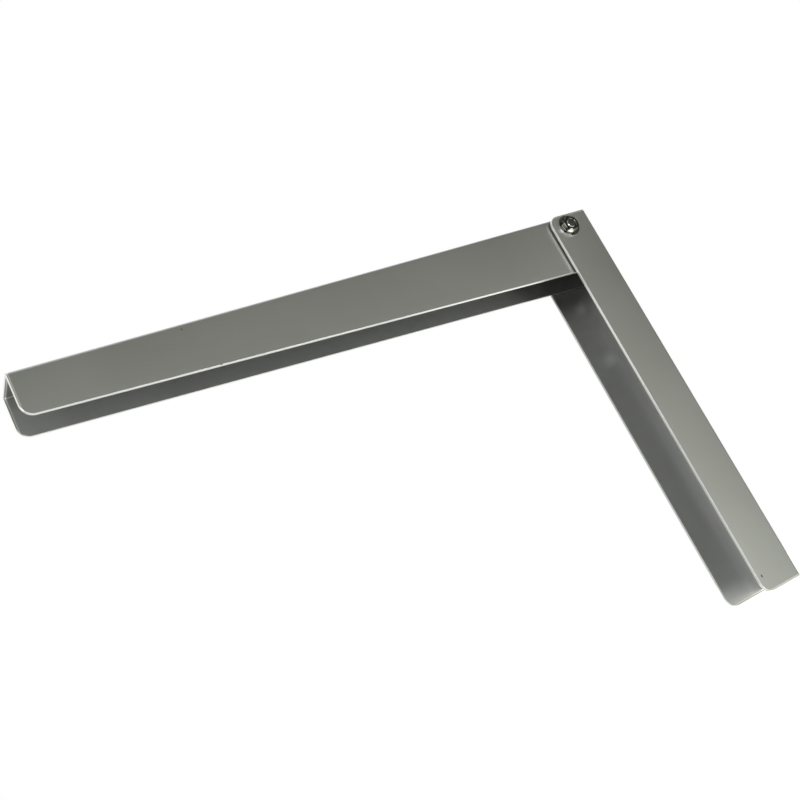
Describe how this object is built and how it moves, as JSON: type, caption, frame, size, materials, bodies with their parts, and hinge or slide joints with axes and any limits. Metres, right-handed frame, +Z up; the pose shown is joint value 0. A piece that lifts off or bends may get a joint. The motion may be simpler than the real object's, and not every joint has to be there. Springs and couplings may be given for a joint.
{
  "type": "folding shelf bracket",
  "caption": "Folding shelf bracket of two folded steel channels: a tapered arm that folds up on one pivot bolt and a wall channel.",
  "frame": {"origin": "middle of the wall channel's back face, which lies on the wall", "axes": "+X into the wall, -X out along the arm, +Z up, Y across the bracket along the pivot bolt, with the nut on the -Y side"},
  "size_m": [0.2985, 0.0361, 0.2101],
  "materials": {
    "grey_sheet": "satin metallic grey paint on folded steel sheet",
    "plated_steel": "bright plated steel"
  },
  "bodies": {
    "wall_side": {"wall_channel": "grey_sheet", "pivot_bolt": "plated_steel", "lock_nut": "plated_steel", "nut_washer": "plated_steel", "head_washer": "plated_steel", "spacer_washer_near": "plated_steel", "spacer_washer_far": "plated_steel"},
    "arm": {"arm_channel": "grey_sheet"}
  },
  "joints": [
    {"name": "arm_fold", "type": "hinge", "parent": "wall_side", "child": "arm", "pos_m": [-0.0154, 0, 0.098], "axis": [0, 1, 0], "range_deg": [0, 90]}
  ]
}
